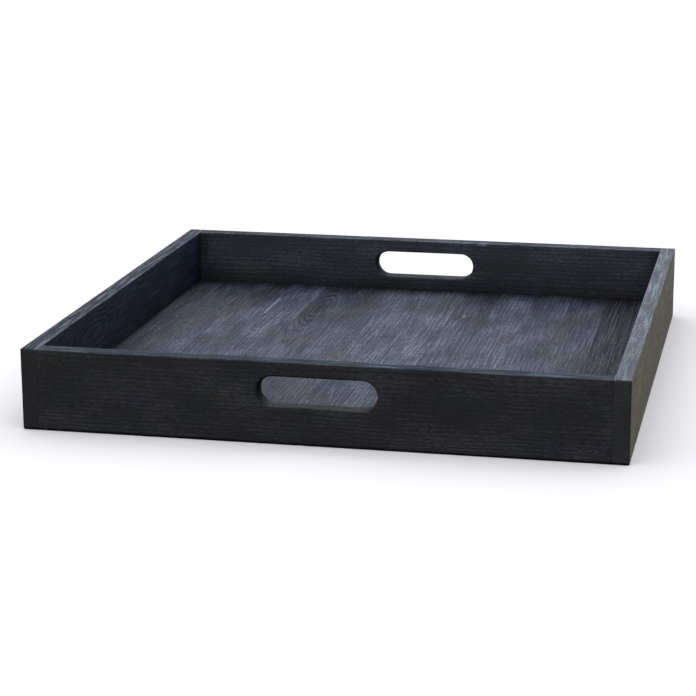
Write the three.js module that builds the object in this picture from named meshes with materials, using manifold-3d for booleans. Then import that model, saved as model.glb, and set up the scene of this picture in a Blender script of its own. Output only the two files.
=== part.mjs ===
// Square wooden serving tray: four boards, doweled at the corners, round a base panel glued up from staves.
// Millimetres, +Z up. The origin is on the ground under the tray's centre, and the front handle faces -Y.

import * as THREE from 'three';
import { mergeVertices } from 'three/addons/utils/BufferGeometryUtils.js';
import Module from 'manifold-3d';

// Overall size, over the boards' outer faces
const TRAY_WIDTH = 600;
const TRAY_DEPTH = 600;
const TRAY_HEIGHT = 83;

// Boards: the side boards run the full depth and the handle boards stand between them. Their long edges are eased,
// and the ends of the side boards a little less
const BOARD_THICKNESS = 17;
const LONG_EDGE_RADIUS = 1.5;
const END_EDGE_RADIUS = 1.2;
const CORNER_GLUE_LINE = 0.3;

// Hand slot through each handle board, with full-round ends and eased edges
const SLOT_LENGTH = 118;
const SLOT_HEIGHT = 30;
const WOOD_ABOVE_SLOT = 15;
const SLOT_EDGE_RADIUS = 1.6;

// Base panel: a tongue round its upper edge sits in a groove in all four boards
const BASE_TOP_HEIGHT = 22.5;
const BASE_THICKNESS = 10;
const TONGUE_THICKNESS = 6;
const GROOVE_DEPTH = 6;
const GROOVE_CLEARANCE = 0.2;
const EXPANSION_GAP = 1;
const SHOULDER_GAP = 0.4;

// Staves run front to back in lanes; the panel is sawn out of a wider glued blank, so its edge lanes are trimmed
const STAVE_WIDTH = 43.5;
const FIRST_LANE_WIDTH = 36.5;
const NARROWEST_LANE = 15;
const STAVE_LENGTH = 400;
const FIRST_END_JOINT = 225;
const STAVE_STAGGER = 150;
const SHORTEST_STAVE = 70;
const STAVE_GLUE_LINE = 0.15;

// Corner dowels: two in each corner, one above the other, in blind holes
const DOWEL_DIAMETER = 8;
const DOWEL_LENGTH = 30;
const DOWEL_DEPTH_IN_SIDE = 10;
const DOWEL_CLEARANCE = 0.15;
const DOWEL_END_ROOM = 0.8;
const DOWEL_BELOW_RIM = 17;
const DOWEL_ABOVE_GROOVE = 10.5;
const DOWEL_CHAMFER = 0.8;
const FLUTE_COUNT = 10;
const FLUTE_DEPTH = 0.4;
const FLUTE_HALF_ANGLE = Math.PI / 36;

// How finely round stretches are divided: an arc gets twice its curve segments
const EDGE_CURVE_SEGMENTS = 2;
const EDGE_BEVEL_SEGMENTS = 3;
const SLOT_CURVE_SEGMENTS = 9;
const HOLE_SIDES = 32;

// How far a cutter reaches past the wood that it cuts
const CUT_OVERRUN = 1;

// Sizes that follow from those above
const INNER_HALF_WIDTH = TRAY_WIDTH / 2 - BOARD_THICKNESS;
const INNER_HALF_DEPTH = TRAY_DEPTH / 2 - BOARD_THICKNESS;
const HANDLE_BOARD_LENGTH = 2 * (INNER_HALF_WIDTH - CORNER_GLUE_LINE);
const HANDLE_BOARD_MIDDLE = TRAY_DEPTH / 2 - BOARD_THICKNESS / 2;
const CORNER_LAND_DEPTH = 2 * LONG_EDGE_RADIUS;
const TONGUE_LENGTH = GROOVE_DEPTH - EXPANSION_GAP;
const PANEL_WIDTH = 2 * (INNER_HALF_WIDTH + TONGUE_LENGTH);
const PANEL_DEPTH = 2 * (INNER_HALF_DEPTH + TONGUE_LENGTH);
const GROOVE_BOTTOM = BASE_TOP_HEIGHT - TONGUE_THICKNESS - GROOVE_CLEARANCE;
const GROOVE_TOP = BASE_TOP_HEIGHT + GROOVE_CLEARANCE;
const SLOT_CENTRE_HEIGHT = TRAY_HEIGHT - WOOD_ABOVE_SLOT - SLOT_HEIGHT / 2;
const DOWEL_DEPTH_IN_HANDLE = DOWEL_LENGTH - DOWEL_DEPTH_IN_SIDE - CORNER_GLUE_LINE;
const DOWEL_HEIGHTS = {
  lower: GROOVE_TOP + DOWEL_ABOVE_GROOVE,
  upper: TRAY_HEIGHT - DOWEL_BELOW_RIM,
};

const wasm = await Module();
wasm.setup();

const X = new THREE.Vector3(1, 0, 0);
const Y = new THREE.Vector3(0, 1, 0);
const Z = new THREE.Vector3(0, 0, 1);

const blackStainedBoard = new THREE.MeshStandardMaterial({ color: 0x2b2c30, roughness: 0.55, metalness: 0 });
const blackStainedBase = new THREE.MeshStandardMaterial({ color: 0x3d3f47, roughness: 0.5, metalness: 0 });
const bareBeech = new THREE.MeshStandardMaterial({ color: 0xc9a678, roughness: 0.7, metalness: 0 });

// A closed geometry as a solid that can be cut and joined
function toSolid(geometry) {
  geometry.deleteAttribute('normal');
  geometry.deleteAttribute('uv');
  const merged = mergeVertices(geometry);
  return new wasm.Manifold(new wasm.Mesh({
    numProp: 3,
    vertProperties: Float32Array.from(merged.attributes.position.array),
    triVerts: Uint32Array.from(merged.index.array),
  }));
}

// A finished solid as a geometry
function toGeometry(solid) {
  const { vertProperties, triVerts } = solid.getMesh();
  const geometry = new THREE.BufferGeometry();
  geometry.setAttribute('position', new THREE.BufferAttribute(vertProperties, 3));
  geometry.setIndex(new THREE.BufferAttribute(triVerts, 1));
  geometry.computeVertexNormals();
  return geometry;
}

// A block between two opposite corners
function block(low, high) {
  const size = high.map((value, axis) => value - low[axis]);
  const middle = high.map((value, axis) => (value + low[axis]) / 2);
  return toSolid(new THREE.BoxGeometry(...size).translate(...middle));
}

function roundedRectangle(width, height, radius) {
  const outline = new THREE.Shape();
  outline.absarc(width - radius, radius, radius, -Math.PI / 2, 0);
  outline.absarc(width - radius, height - radius, radius, 0, Math.PI / 2);
  outline.absarc(radius, height - radius, radius, Math.PI / 2, Math.PI);
  outline.absarc(radius, radius, radius, Math.PI, 1.5 * Math.PI);
  return outline;
}

function stadium(length, height) {
  const radius = height / 2;
  const reach = length / 2 - radius;
  const outline = new THREE.Shape();
  outline.absarc(reach, 0, radius, -Math.PI / 2, Math.PI / 2);
  outline.absarc(-reach, 0, radius, Math.PI / 2, 1.5 * Math.PI);
  return outline;
}

// Boards are made lying along X, centred on x = 0, outer face on y = 0, lower edge on z = 0

function boardSection() {
  return roundedRectangle(BOARD_THICKNESS, TRAY_HEIGHT, LONG_EDGE_RADIUS);
}

// A board before it is cut, with square ends where their radius is 0
function boardBlank(length, endRadius) {
  const blank = new THREE.ExtrudeGeometry(boardSection(), {
    depth: length - 2 * endRadius,
    curveSegments: EDGE_CURVE_SEGMENTS,
    bevelEnabled: endRadius > 0,
    bevelThickness: endRadius,
    bevelSize: endRadius,
    bevelOffset: -endRadius,
    bevelSegments: EDGE_BEVEL_SEGMENTS,
  });
  blank.translate(0, 0, endRadius - length / 2);
  blank.applyMatrix4(new THREE.Matrix4().makeBasis(Y, Z, X));
  return toSolid(blank);
}

// The square land on a side board's inner face where a handle board butts: the handle board's own section, so that
// its faces and eased edges run on flush across the glued corner
function cornerLand(end) {
  const land = new THREE.ExtrudeGeometry(boardSection(), {
    depth: CORNER_LAND_DEPTH,
    curveSegments: EDGE_CURVE_SEGMENTS,
    bevelEnabled: false,
  });
  land.rotateX(Math.PI / 2);
  land.translate(end * HANDLE_BOARD_MIDDLE - BOARD_THICKNESS / 2, BOARD_THICKNESS, 0);
  return toSolid(land);
}

// The groove that takes the base panel's tongue, cut into the inner face
function groove(halfLength) {
  return block(
    [-halfLength, BOARD_THICKNESS - GROOVE_DEPTH, GROOVE_BOTTOM],
    [halfLength, BOARD_THICKNESS + CUT_OVERRUN, GROOVE_TOP],
  );
}

// The wood that the hand slot takes away: its ends flare, which leaves the slot's edges rounded over
function handSlot() {
  const slot = new THREE.ExtrudeGeometry(stadium(SLOT_LENGTH, SLOT_HEIGHT), {
    depth: BOARD_THICKNESS - 2 * SLOT_EDGE_RADIUS,
    curveSegments: SLOT_CURVE_SEGMENTS,
    bevelThickness: SLOT_EDGE_RADIUS,
    bevelSize: -SLOT_EDGE_RADIUS,
    bevelOffset: SLOT_EDGE_RADIUS,
    bevelSegments: EDGE_BEVEL_SEGMENTS,
  });
  slot.translate(0, 0, SLOT_EDGE_RADIUS - BOARD_THICKNESS);
  slot.rotateX(Math.PI / 2);
  slot.translate(0, 0, SLOT_CENTRE_HEIGHT);
  return toSolid(slot);
}

// A round cutter along Y, a little wider than the dowel that it makes room for
function dowelHole(depth) {
  const radius = DOWEL_DIAMETER / 2 + DOWEL_CLEARANCE;
  return new THREE.CylinderGeometry(radius, radius, depth, HOLE_SIDES);
}

// A handle board is sawn off square, so that its ends butt flat against the side boards
function handleBoard() {
  const end = HANDLE_BOARD_LENGTH / 2;
  const holeDepth = DOWEL_DEPTH_IN_HANDLE + DOWEL_END_ROOM + CUT_OVERRUN;
  const holeMiddle = end + CUT_OVERRUN - holeDepth / 2;
  let board = boardBlank(HANDLE_BOARD_LENGTH, 0).subtract(groove(end + CUT_OVERRUN)).subtract(handSlot());
  for (const side of [-1, 1]) {
    for (const height of Object.values(DOWEL_HEIGHTS)) {
      const hole = dowelHole(holeDepth).rotateZ(Math.PI / 2);
      hole.translate(side * holeMiddle, BOARD_THICKNESS / 2, height);
      board = board.subtract(toSolid(hole));
    }
  }
  return toGeometry(board);
}

// A side board's groove stops short of its ends, so that it doesn't show on the front and rear faces
function sideBoard() {
  const holeDepth = DOWEL_DEPTH_IN_SIDE + DOWEL_END_ROOM + CUT_OVERRUN;
  const holeMiddle = BOARD_THICKNESS + CUT_OVERRUN - holeDepth / 2;
  let board = boardBlank(TRAY_DEPTH, END_EDGE_RADIUS);
  for (const end of [-1, 1]) {
    board = board.add(cornerLand(end));
  }
  board = board.subtract(groove(INNER_HALF_DEPTH + GROOVE_DEPTH));
  for (const end of [-1, 1]) {
    for (const height of Object.values(DOWEL_HEIGHTS)) {
      const hole = dowelHole(holeDepth).translate(end * HANDLE_BOARD_MIDDLE, holeMiddle, height);
      board = board.subtract(toSolid(hole));
    }
  }
  return toGeometry(board);
}

// A fluted dowel lying along X, centred on the origin: a grooved rod inside a barrel whose cones chamfer its ends
function dowel() {
  const radius = DOWEL_DIAMETER / 2;
  const fluted = new THREE.Shape();
  for (let flute = 0; flute < FLUTE_COUNT; flute += 1) {
    const from = (2 * Math.PI * flute) / FLUTE_COUNT;
    const to = (2 * Math.PI * (flute + 1)) / FLUTE_COUNT;
    fluted.absarc(0, 0, radius, from + FLUTE_HALF_ANGLE, to - FLUTE_HALF_ANGLE);
    fluted.lineTo((radius - FLUTE_DEPTH) * Math.cos(to), (radius - FLUTE_DEPTH) * Math.sin(to));
  }
  const rod = new THREE.ExtrudeGeometry(fluted, {
    depth: DOWEL_LENGTH,
    curveSegments: EDGE_CURVE_SEGMENTS,
    bevelEnabled: false,
  });
  const coneLength = 2 * DOWEL_CHAMFER;
  const girth = new THREE.Shape().absarc(0, 0, radius + DOWEL_CHAMFER, 0, 2 * Math.PI);
  const barrel = new THREE.ExtrudeGeometry(girth, {
    depth: DOWEL_LENGTH - 2 * coneLength,
    curveSegments: HOLE_SIDES / 2,
    bevelThickness: coneLength,
    bevelSize: coneLength,
    bevelOffset: -coneLength,
    bevelSegments: 1,
  });
  barrel.translate(0, 0, coneLength);
  const pin = toGeometry(toSolid(rod).intersect(toSolid(barrel)));
  return pin.translate(0, 0, -DOWEL_LENGTH / 2).rotateY(Math.PI / 2);
}

// The whole panel before it is divided: a wide tongued upper layer on a core that fits between the boards
function basePanel() {
  const underside = BASE_TOP_HEIGHT - BASE_THICKNESS;
  const coreHalfWidth = INNER_HALF_WIDTH - SHOULDER_GAP;
  const coreHalfDepth = INNER_HALF_DEPTH - SHOULDER_GAP;
  const core = block(
    [-coreHalfWidth, -coreHalfDepth, underside],
    [coreHalfWidth, coreHalfDepth, BASE_TOP_HEIGHT],
  );
  const tongued = block(
    [-PANEL_WIDTH / 2, -PANEL_DEPTH / 2, BASE_TOP_HEIGHT - TONGUE_THICKNESS],
    [PANEL_WIDTH / 2, PANEL_DEPTH / 2, BASE_TOP_HEIGHT],
  );
  return core.add(tongued);
}

// Glued joints a pitch apart from the first one on, none that leaves an edge piece under the least size
function jointPositions(first, pitch, length, leastPiece) {
  const positions = [];
  for (let at = first; at <= length - leastPiece; at += pitch) {
    if (at >= leastPiece) {
      positions.push(at);
    }
  }
  return positions;
}

// The stretches of wood between joints, each half a glue line short of a joint
function stretches(joints, length) {
  const starts = [0, ...joints.map((at) => at + STAVE_GLUE_LINE / 2)];
  const ends = [...joints.map((at) => at - STAVE_GLUE_LINE / 2), length];
  return starts.map((start, index) => [start, ends[index]]);
}

// Every stave of the base: lanes counted from the left, staves in a lane counted from the rear
function baseStaves() {
  const panel = basePanel();
  const lanes = stretches(
    jointPositions(FIRST_LANE_WIDTH, STAVE_WIDTH, PANEL_WIDTH, NARROWEST_LANE),
    PANEL_WIDTH,
  );
  return lanes.flatMap(([left, right], lane) => {
    const firstEnd = (FIRST_END_JOINT + lane * STAVE_STAGGER) % STAVE_LENGTH;
    const endJoints = jointPositions(firstEnd, STAVE_LENGTH, PANEL_DEPTH, SHORTEST_STAVE);
    return stretches(endJoints, PANEL_DEPTH).map(([rear, front], row) => {
      const cell = block(
        [left - PANEL_WIDTH / 2, PANEL_DEPTH / 2 - front, 0],
        [right - PANEL_WIDTH / 2, PANEL_DEPTH / 2 - rear, TRAY_HEIGHT],
      );
      const laneNumber = String(lane + 1).padStart(2, '0');
      return { name: `base_stave_${laneNumber}_${row + 1}`, geometry: toGeometry(panel.intersect(cell)) };
    });
  });
}

const tray = new THREE.Group();

function addPiece(name, geometry, material) {
  const piece = new THREE.Mesh(geometry, material);
  piece.name = name;
  tray.add(piece);
  return piece;
}

// Handle boards, front and rear: the rear one is the same board turned round
const handleGeometry = handleBoard();
addPiece('front_handle_board', handleGeometry, blackStainedBoard).position.y = -TRAY_DEPTH / 2;
const rearHandle = addPiece('rear_handle_board', handleGeometry, blackStainedBoard);
rearHandle.position.y = TRAY_DEPTH / 2;
rearHandle.rotation.z = Math.PI;

// Side boards, with their grooved faces inwards
const sideGeometry = sideBoard();
const leftSide = addPiece('left_side_board', sideGeometry, blackStainedBoard);
leftSide.position.x = -TRAY_WIDTH / 2;
leftSide.rotation.z = -Math.PI / 2;
const rightSide = addPiece('right_side_board', sideGeometry, blackStainedBoard);
rightSide.position.x = TRAY_WIDTH / 2;
rightSide.rotation.z = Math.PI / 2;

// Base staves
for (const { name, geometry } of baseStaves()) {
  addPiece(name, geometry, blackStainedBase);
}

// Corner dowels
const dowelGeometry = dowel();
const dowelMiddle = INNER_HALF_WIDTH + DOWEL_DEPTH_IN_SIDE - DOWEL_LENGTH / 2;
for (const [end, endSign] of [['front', -1], ['rear', 1]]) {
  for (const [side, sideSign] of [['left', -1], ['right', 1]]) {
    for (const [level, height] of Object.entries(DOWEL_HEIGHTS)) {
      const pin = addPiece(`dowel_${end}_${side}_${level}`, dowelGeometry, bareBeech);
      pin.position.set(sideSign * dowelMiddle, endSign * HANDLE_BOARD_MIDDLE, height);
    }
  }
}

export default tray;
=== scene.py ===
"""Black-stained wooden serving tray: brushed boards round a stave base, with light and camera.

Metres, +Z up.
"""

import math

import bmesh
import bpy
import numpy as np
from mathutils import Matrix, Vector


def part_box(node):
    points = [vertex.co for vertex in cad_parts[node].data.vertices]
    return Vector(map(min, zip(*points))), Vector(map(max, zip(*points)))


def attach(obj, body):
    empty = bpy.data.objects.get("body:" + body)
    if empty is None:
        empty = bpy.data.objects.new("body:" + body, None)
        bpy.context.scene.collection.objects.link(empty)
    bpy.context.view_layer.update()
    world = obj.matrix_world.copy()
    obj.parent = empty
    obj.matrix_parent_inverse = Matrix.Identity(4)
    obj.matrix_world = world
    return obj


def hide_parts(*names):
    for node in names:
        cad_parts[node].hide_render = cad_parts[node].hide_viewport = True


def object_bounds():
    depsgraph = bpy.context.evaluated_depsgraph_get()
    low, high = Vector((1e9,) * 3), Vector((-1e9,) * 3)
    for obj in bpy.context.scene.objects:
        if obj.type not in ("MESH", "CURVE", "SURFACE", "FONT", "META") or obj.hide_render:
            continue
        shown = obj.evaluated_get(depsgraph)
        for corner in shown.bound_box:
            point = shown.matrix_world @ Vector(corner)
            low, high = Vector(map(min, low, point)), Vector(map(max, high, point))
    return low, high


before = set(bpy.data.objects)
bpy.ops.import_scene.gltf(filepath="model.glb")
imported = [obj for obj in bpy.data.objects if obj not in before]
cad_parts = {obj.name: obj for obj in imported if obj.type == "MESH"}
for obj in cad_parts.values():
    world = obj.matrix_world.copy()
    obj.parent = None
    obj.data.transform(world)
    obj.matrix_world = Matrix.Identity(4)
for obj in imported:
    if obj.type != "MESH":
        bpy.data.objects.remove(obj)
cad_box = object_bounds()

MM = 0.001
SEED = 727

# Camera, from the tray's straight edges in the photograph
CAMERA_PLACE = (0.4484, -2.2263, 0.6171)
CAMERA_YAW = math.radians(12.236)
CAMERA_PITCH = math.radians(14.687)
CAMERA_ROLL = math.radians(-0.222)
CAMERA_LENS = 110.92
CAMERA_SENSOR = 36

# Floor, sky and lamp. Floor and sky are given twice: as they light the tray, and as the camera sees them
FLOOR_REACH = 40
FLOOR_COLOURS = ("#857f76", "#fff9f2")
SKY_COLOURS = ("#a9c4ff", "#e2ebff")
SKY_STRENGTHS = (0.3, 1.0)
LAMP_STRENGTH = 2.9
LAMP_SPREAD = math.radians(120)

# How finely the wood is divided, along the grain and across it
BOARD_CELL_ALONG = 5 * MM
BOARD_CELL_ACROSS = 0.6 * MM
STAVE_CELL_ALONG = 6 * MM
STAVE_CELL_ACROSS = 0.7 * MM
STAVE_CELL_DEEP = 5 * MM
EDGE_STEPS = 4
SHARP_EDGE = math.radians(40)

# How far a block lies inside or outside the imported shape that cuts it, and distances that count as none
SKIN = 0.04 * MM
OVERHANG = 1 * MM
LEAST_REACH = SKIN / 100
MERGE_DISTANCE = MM / 10000

# Eased edges of the boards, a little rounder than the milled ones, and the hand slots in two of them
BOARD_EDGE = 1.6 * MM
EDGE_FADE = 0.5 * MM
HAND_SLOT_LENGTH = 118 * MM
HAND_SLOT_HEIGHT = 30 * MM
HAND_SLOT_BOTTOM = 38 * MM
SLOT_LEDGE_RISE = 20 * MM
SLOT_UNSHADED_END = (44 * MM, 54 * MM)

# Inner faces of the boards, the top of the base, and how far down the rim's own stain, partly painted light,
# reaches
INNER_FACE = 283 * MM
BASE_TOP = 22.5 * MM
RIM_DEPTH = 6 * MM

# How far a piece is let out to close its glue lines: a handle board lengthwise, a stave all round
HANDLE_BOARD_GROWTH = 0.33 * MM
STAVE_GROWTH = 0.07 * MM

# Grain, as sizes in millimetres: along the grain, across it on the broad face, and deep
# Real fibres and pores are a fifth as wide, too fine to show from the camera, so they are drawn coarser
BOARD_FIBRE = (16, 0.7, 2.5)
BOARD_FLECK = (6, 0.7, 0.9)
BASE_FIBRE = (48, 1.1, 1.1)
DRY_FIBRE = (85, 0.9, 0.9)
BASE_FLECK = (9, 1, 1)
BEECH_FLECK = (6, 0.6, 0.6)
PORE = (5, 0.9, 1.2)
MOTTLE = (4, 1.5, 2)
BRUSHED_PATCH = (110, 24, 24)
CLOUD = (75, 34, 34)
HUE = (62, 36, 36)
GROOVE = (48, 2.4, 2.4)
WEATHER = (40, 1.8, 1.8)
DENT = (7, 7, 7)
RING_WANDER_CELL = (120, 18, 18)

# Growth rings: their width, how far they wander, and where in half a ring the late wood ends
RING_WIDTH = 4 * MM
RING_WANDER = 7 * MM
LATE_WOOD = 0.3

# How deep the wood is carved
BOARD_GROOVE_DEPTH = 0.1 * MM
BASE_GROOVE_DEPTH = 0.16 * MM
RING_DEPTH = 0.06 * MM
DENT_DEPTH = 0.5 * MM

# Values of the noise at which dents, flecks, pores, patches and rubbed places start, and are full
NOISE_MIDDLE = 0.5
DENT_NOISE = (0.58, 0.78)
FLECK_NOISE = (0.6, 0.73)
PORE_NOISE = (0.55, 0.68)
PATCH_NOISE = (0.35, 0.65)
RUBBED_NOISE = (0.8, 1.15)

# How strong the fibres are in the patches that the brush bit least and most
PATCH_BITE = (0.45, 1.35)

# How a place is told: an eased edge by its angle in radians, the rim by its rise, the outer face by its lean
EASED_ANGLE = (0.01, 0.08)
UPPER_RISE = (0.1, 0.6)
FLAT_RISE = (0.5, 0.9)
OUTER_LEAN = 0.5

# Stains by their dark, middle, light and rubbed colours, and the shade from 0 to 1 of the middle one
BOARD_STAIN = ("#111215", "#212327", "#5a5e68", "#868c9a")
BASE_STAIN = ("#101216", "#292c34", "#6c707e", "#a4aab8")
DRY_BASE_STAIN = ("#0e0e12", "#25252b", "#666771", "#a4aab8")
MIDDLE_SHADE = 0.45

# How much each part of the grain shades the stain, with the painted light on the slot's ledge, and the parts
# that shade it both ways
BOARD_SHARES = {
    "fibres": 0.15, "mottle": 0.15, "cloud": 0.3, "flecks": 0.05, "pores": -0.2, "rings": 0.06,
    "ovals": 0.35, "weather": 1.4, "painted_slot_ledge_light": 0.03,
}
BASE_SHARES = {
    "fibres": 1.2, "mottle": 0.6, "cloud": 0.75, "flecks": 0.2, "pores": -0.25, "rings": 0.15, "ovals": 0.5,
}
DRY_BASE_SHARES = {
    "fibres": 1.6, "mottle": 0.4, "cloud": 0.25, "flecks": 0.3, "pores": -0.3, "rings": 0.2,
}
EVEN_PARTS = ("fibres", "mottle", "cloud", "rings")

# Clouds of hue, as the least times red, green and blue, and how far they swing above it
HUE_LEAST = (0.78, 0.92, 0.78)
HUE_SWING = (0.44, 0.16, 0.44)

# How much calmer end grain is, and what is left of the colour under the deepest painted shade
END_CALM = 0.5
PAINTED_SHADE_LEFT = 0.1

# Gloss of stained wood: shades between which it turns from dull to polished, and how rough matt wood is
SATIN_SHADES = (0.1, 0.9)
MATT_ROUGHNESS = 0.9
WOOD_IOR = 1.5
ANISOTROPY = 0.6
QUARTER_TURN = 0.25
BUMP_STRENGTH = 0.8

# Sheen of raised fibres on dried wood
SHEEN_ROUGHNESS = 0.4
SHEEN_TINT = "#f0dea6"

# Bare beech: its darker and paler colours at their places in the noise, and how rough it is at both ends
BEECH_TONES = ((0.35, "#a97f52"), (0.6, "#cba677"))
BEECH_ROUGHNESS = (0.8, 0.6)

# Looks of each board. A stain is times the common stain in red, green and blue, on one side of the board
# The stains are partly painted light: the right board's rim and outer face are paler as painted light from
# the right, the rear inner face as painted light bounced off the base, and the left inner face darker and
# bluer as painted shade
# Wear, partly a painted highlight, is on the rim's edges, weather on its top and on the inner face,
# and dryness on the outer face
BOARD_LOOKS = {
    "front_handle_board": {
        "Outer Stain And Painted Light": (2.05, 1.85, 1.6), "Inner Stain And Painted Light": (1.9, 1.6, 1.1), "Rim Stain And Painted Light": (1.65, 1.85, 1.95),
        "End Stain": (1, 1, 1), "Wear And Painted Highlight": 0.4, "Rim Weather": 1.0, "Inner Weather": 0.1, "Dryness": 0.06,
    },
    "rear_handle_board": {
        "Outer Stain And Painted Light": (2.05, 1.85, 1.6), "Inner Stain And Painted Light": (3.4, 3.25, 2.9), "Rim Stain And Painted Light": (2.6, 2.6, 2.3),
        "End Stain": (1, 1, 1), "Wear And Painted Highlight": 0.8, "Rim Weather": 0.8, "Inner Weather": 0.0, "Dryness": 0.12,
    },
    "left_side_board": {
        "Outer Stain And Painted Light": (2.05, 1.85, 1.6), "Inner Stain And Painted Light": (0.8, 0.95, 1.25), "Rim Stain And Painted Light": (1.7, 1.7, 1.7),
        "End Stain": (2.1, 1.9, 1.55), "Wear And Painted Highlight": 0.9, "Rim Weather": 1.5, "Inner Weather": 0.6, "Dryness": 0.12,
    },
    "right_side_board": {
        "Outer Stain And Painted Light": (3.6, 3.15, 2.4), "Inner Stain And Painted Light": (1.3, 1.3, 1.3), "Rim Stain And Painted Light": (7.0, 6.8, 6.1),
        "End Stain": (2.7, 2.4, 2.0), "Wear And Painted Highlight": 1.0, "Rim Weather": 0.35, "Inner Weather": 0.1, "Dryness": 0.6,
    },
}

# Boards whose outer face has dried out, with a finish of its own
DRY_BOARDS = ("right_side_board",)

# The worn strips along the rim's edges, paler partly as a painted highlight, and the outer one's share of the
# wear
WORN_WIDTH = 3.2 * MM
OUTER_WEAR = 0.5

# Painted contact shadow along lower edges, from the height where it is darkest to where it ends, and a thin
# darker line down the outer corners
LOW_EDGE_SHADOW = (2.0 * MM, 3.2 * MM)
CORNER_SHARE = 0.6

# Painted shade on the inner faces, as shares of the darkest: at their foot and in their corners
FOOT_SHARE = 0.6
FOOT_HEIGHT = 42 * MM
INNER_CORNER_SHARE = 0.5
INNER_CORNER_WIDTH = 18 * MM

# Painted shade on the base: along the foot of the boards, across the grain and along it, and the front
# board's painted shadow at the front
BASE_EDGE_SHARE = 0.9
BASE_EDGE_ACROSS = 7 * MM
BASE_EDGE_ALONG = 42 * MM
BASE_FRONT_SHARE = 0.3
BASE_FRONT = (-90 * MM, -150 * MM)

# Lightness of each lane of the base from the left, as times the common stain, and of single staves in it
# The last lanes, beside the right board, are darker partly as painted shade
LANE_TONES = (0.9, 0.95, 0.95, 1.3, 0.9, 1.0, 1.35, 1.4, 0.88, 1.45, 1.15, 0.85, 0.8, 0.6)
STAVE_TONES = {"03_2": 1.3, "08_1": 1.2, "09_2": 1.2, "11_1": 1.3, "12_1": 1.2, "13_1": 1.1}
STAVE_TONE_SPREAD = 0.06

# Lanes that took more stain and less oil
DRY_LANES = (13, 14)

# Logs: how far apart they lie in the noise, in metres, and where their heart is, in millimetres
LOG_SPREAD = 3
PITH_ACROSS = (40, 110)
PITH_DEEP = (-60, -15)

# Pieces that bow close to the heart of their log, so that rings show as ovals: their middle, in millimetres
OVALS = {"base_stave_05_1": (-103, 168, 22.5), "left_side_board": (-283, -132, 58)}

# The heart under an oval: its depth, the length over which it bends, and how far it dips along the grain
HEART_DEPTH = 8 * MM
HEART_BEND = 90 * MM
HEART_DIP = 26 * MM

# Ovals: how dark they are, and where they fade away from the heart and across it, as one half shows best
HEART_SHADE = 1.1
HEART_SPREAD = (15 * MM, 25 * MM)
HEART_SIDE = (-8 * MM, 5 * MM)

# Chips and lifted splinters on a piece, and a painted highlight along one stave's edge: from where to where
# in millimetres, then radius and depth
CHIPS_AND_HIGHLIGHTS = {
    "rear_handle_board": (
        ((48, 285.5, 82), (53, 285.5, 82), 2.4, 0.5), ((69, 284, 82), (74, 284, 82), 3.0, 0.6),
        ((64, 283, 77), (65, 283, 74), 1.3, 0.3),
    ),
    # A painted highlight along this stave's raised edge, cut in as a shallow pale groove
    "base_stave_04_1": (((-162, 206, 22.5), (-162, 130, 22.5), 0.8, 0.1),),
    "base_stave_09_1": (((68.6, 163, 22.5), (68.6, 157, 22.5), 1.2, 0.2),),
}


def linear(colour):
    """An sRGB hex colour as linear red, green, blue and alpha."""
    parts = [int(colour[i:i + 2], 16) / 255 for i in (1, 3, 5)]
    return [p / 12.92 if p <= 0.04045 else ((p + 0.055) / 1.055) ** 2.4 for p in parts] + [1.0]


def add(tree, kind, inputs=None, **settings):
    """Adds a node with its settings.

    inputs maps a socket's name or number to a value, or to a socket that feeds it.
    """
    node = tree.nodes.new(kind)
    for name, value in settings.items():
        setattr(node, name, value)
    for key, value in (inputs or {}).items():
        if isinstance(value, bpy.types.NodeSocket):
            tree.links.new(value, node.inputs[key])
        else:
            node.inputs[key].default_value = value
    return node


def streaks(tree, grain, size, detail):
    """Streaks of a size in the grain, as a grey value round the noise's middle and as three unlike ones."""
    counts = [1 / (part * MM) for part in size]
    cells = add(tree, "ShaderNodeVectorMath", {0: grain, 1: counts}, operation="MULTIPLY")
    noise = add(tree, "ShaderNodeTexNoise", {"Vector": cells.outputs[0], "Scale": 1.0, "Detail": detail})
    return noise.outputs[0], noise.outputs[1]


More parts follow.
